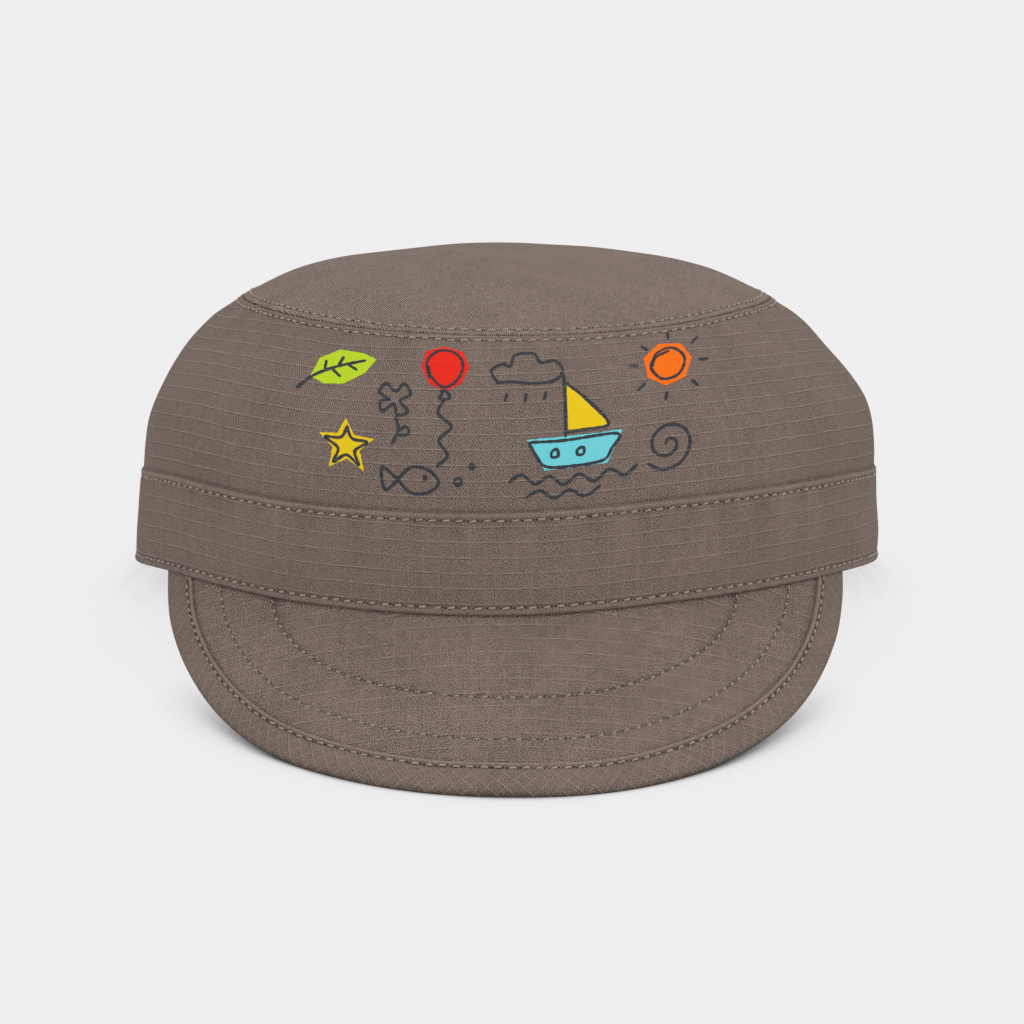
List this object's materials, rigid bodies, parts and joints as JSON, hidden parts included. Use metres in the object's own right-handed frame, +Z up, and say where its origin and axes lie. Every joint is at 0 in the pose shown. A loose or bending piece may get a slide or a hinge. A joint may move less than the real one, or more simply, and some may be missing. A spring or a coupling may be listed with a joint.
{
  "type": "cadet cap",
  "caption": "Child's cloth cadet cap with a domed oval top, an upright crown, a head band and a short curved peak with a bias border.",
  "frame": {"origin": "centre of the cap's outline on the surface that it rests on", "axes": "+Z up from that surface, -Y towards the peak's edge, +X to the right as the picture shows it"},
  "size_m": [0.167, 0.2228, 0.0834],
  "materials": {
    "band_cloth": "matt brown-grey ripstop cotton",
    "wall_cloth": "matt brown-grey ripstop cotton",
    "top_cloth": "matt brown-grey ripstop cotton",
    "peak_cloth": "matt brown-grey ripstop cotton over a stiffener",
    "border_cloth": "matt brown-grey ripstop cotton cut on the bias"
  },
  "bodies": {
    "root": {"head_band": "band_cloth", "crown_wall": "wall_cloth", "crown_top": "top_cloth", "peak_panel": "peak_cloth", "peak_border": "border_cloth"}
  },
  "joints": []
}
